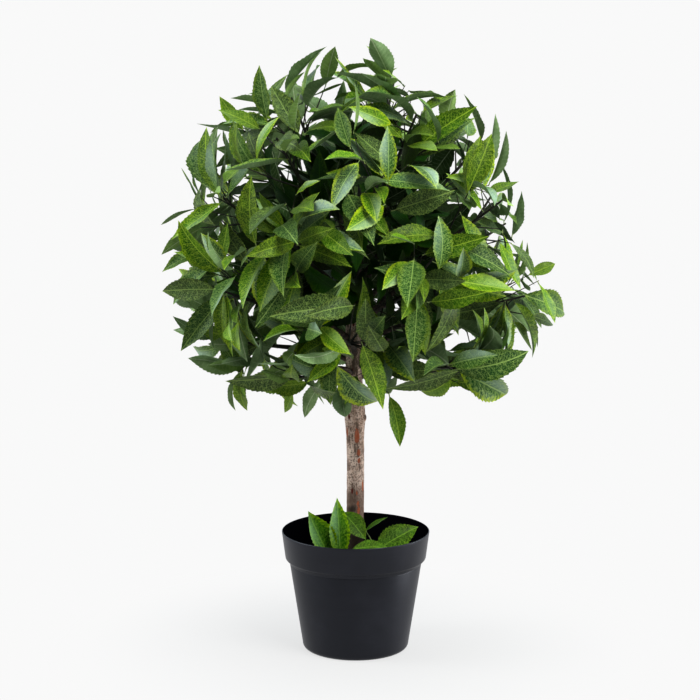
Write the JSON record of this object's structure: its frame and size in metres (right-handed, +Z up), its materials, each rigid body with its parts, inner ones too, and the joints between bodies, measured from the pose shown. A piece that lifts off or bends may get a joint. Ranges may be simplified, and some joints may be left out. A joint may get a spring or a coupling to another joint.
{
  "type": "artificial standard bay tree in a plastic pot",
  "caption": "Artificial ball-headed bay tree: a bare cut-wood stem in a weighted black plastic pot, wire boughs and leafy sprays that form a round crown, and leaf sprigs at the foot.",
  "frame": {"origin": "middle of the pot's flat underside, where it stands", "axes": "+Z up along the stem, -Y towards the viewer, +X to the viewer's right"},
  "size_m": [0.5985, 0.5918, 0.9009],
  "materials": {
    "pot": "matte moulded plastic",
    "fill": "rough cement stained dark",
    "bark": "dry grey-beige bark",
    "wire": "plastic-covered wire",
    "leaf": "printed cloth leaf",
    "young_leaf": "printed cloth leaf"
  },
  "bodies": {
    "root": {"pot": "pot", "pot_fill": "fill", "trunk": "bark", "bough_01": "wire", "bough_02": "wire", "bough_03": "wire", "bough_04": "wire", "bough_05": "wire", "bough_06": "wire", "bough_07": "wire", "bough_08": "wire", "bough_09": "wire", "bough_10": "wire", "bough_11": "wire", "bough_12": "wire", "bough_13": "wire", "bough_14": "wire", "bough_15": "wire", "bough_16": "wire", "bough_17": "wire", "bough_18": "wire", "bough_19": "wire", "bough_20": "wire", "bough_21": "wire", "bough_22": "wire", "bough_23": "wire", "bough_24": "wire", "bough_25": "wire", "bough_26": "wire", "bough_27": "wire", "spray_01": "leaf", "spray_02": "leaf", "spray_03": "leaf", "spray_04": "leaf", "spray_05": "leaf", "spray_06": "leaf", "spray_07": "leaf", "spray_08": "leaf", "spray_09": "leaf", "spray_10": "leaf", "spray_11": "leaf", "spray_12": "leaf", "spray_13": "leaf", "spray_14": "leaf", "spray_15": "leaf", "spray_16": "leaf", "spray_17": "leaf", "spray_18": "leaf", "spray_19": "leaf", "spray_20": "leaf", "spray_21": "leaf", "spray_22": "leaf", "spray_23": "leaf", "spray_24": "leaf", "spray_25": "leaf", "spray_26": "leaf", "spray_27": "leaf", "foot_sprig_01": "young_leaf", "foot_sprig_02": "young_leaf", "foot_sprig_03": "young_leaf"}
  },
  "joints": []
}
